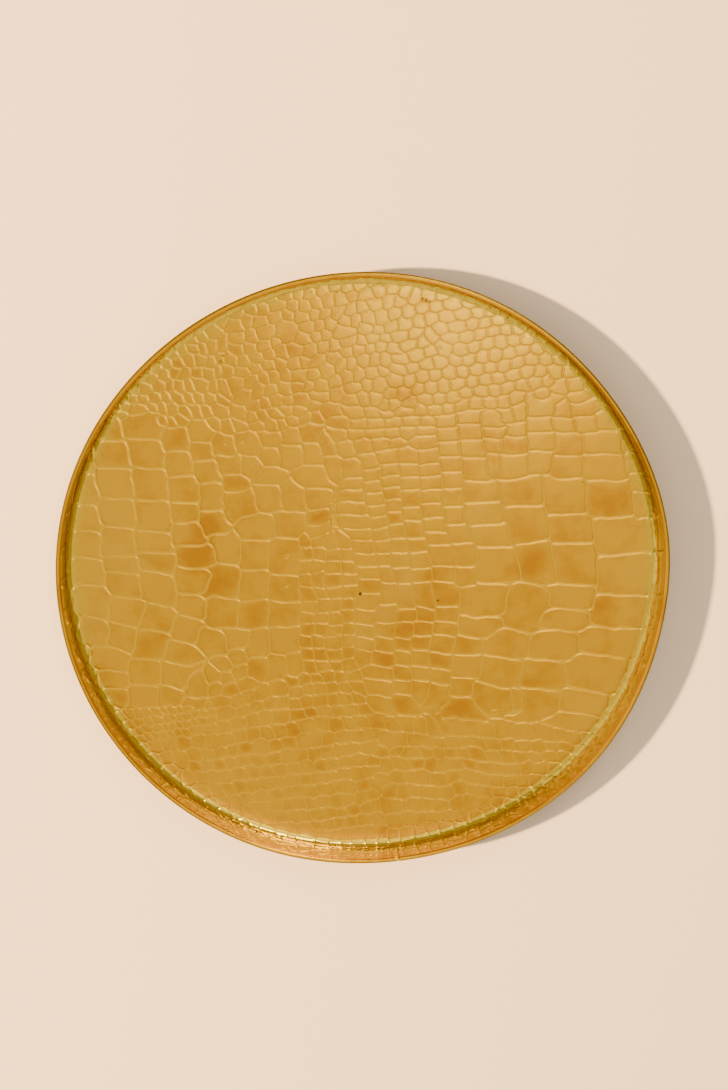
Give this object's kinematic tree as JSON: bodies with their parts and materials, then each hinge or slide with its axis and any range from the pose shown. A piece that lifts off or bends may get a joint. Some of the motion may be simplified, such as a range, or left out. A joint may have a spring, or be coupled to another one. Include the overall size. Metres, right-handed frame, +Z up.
{
  "type": "brass tray",
  "caption": "Round shallow brass serving tray: flat reptile-embossed floor, low upright wall and a plain rim rolled over a wire.",
  "frame": {"origin": "centre of the tray's underside, on the surface that it stands on", "axes": "+Z up through the middle of the floor; the rim wire's seam is near -Y, and X and Y are otherwise alike"},
  "size_m": [0.4, 0.4, 0.0225],
  "materials": {
    "embossed_brass": "lacquered sheet brass, satin floor with warm patina, shinier wall and rim",
    "steel_wire": "plain drawn steel wire, hidden inside the rolled rim"
  },
  "bodies": {
    "root": {"pan": "embossed_brass", "rim_wire": "steel_wire"}
  },
  "joints": []
}
